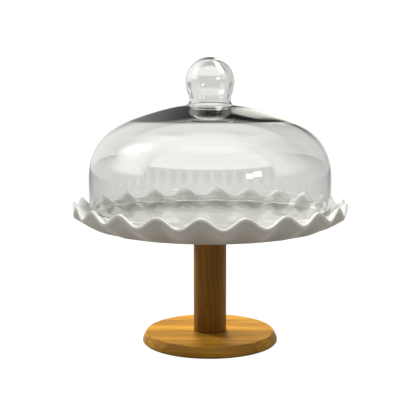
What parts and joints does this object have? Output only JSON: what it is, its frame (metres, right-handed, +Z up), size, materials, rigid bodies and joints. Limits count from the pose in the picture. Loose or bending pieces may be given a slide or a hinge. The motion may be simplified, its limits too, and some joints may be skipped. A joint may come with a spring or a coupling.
{
  "type": "cake stand with dome",
  "caption": "Footed cake stand: ruffled white ceramic plate on a turned wooden stem and round wooden base, covered by a lift-off clear glass dome with a hollow ball knob.",
  "frame": {"origin": "on the table, under the centre of the base", "axes": "+Z up along the stem, +Y away from the front, +X to the right; the staves of the base run along X"},
  "size_m": [0.318, 0.318, 0.334],
  "materials": {
    "clear_glass": "clear blown glass, polished",
    "white_glaze": "glossy white glaze",
    "stem_wood": "oiled, grain upright",
    "base_wood": "oiled, grain along the staves",
    "dowel_wood": "plain",
    "cork": "matt cork and rubber sheet",
    "black_rubber": "matt",
    "brass": "machined",
    "zinc_steel": "bright zinc plated"
  },
  "bodies": {
    "stand": {"cake_plate": "white_glaze", "plate_insert": "brass", "plate_gasket": "cork", "stem": "stem_wood", "dowel_pins": "dowel_wood", "base_stave_1": "base_wood", "base_stave_2": "base_wood", "base_stave_3": "base_wood", "base_stave_4": "base_wood", "base_stave_5": "base_wood", "base_stave_6": "base_wood", "rubber_feet": "black_rubber", "tie_rod": "zinc_steel", "flat_washer": "zinc_steel", "lock_washer": "zinc_steel", "rod_nut": "zinc_steel"},
    "dome": {"dome_bell": "clear_glass", "dome_knob": "clear_glass"}
  },
  "joints": [
    {"name": "dome_lift", "type": "slide", "parent": "stand", "child": "dome", "axis": [0, 0, 1], "range_m": [0, 0.2]}
  ]
}
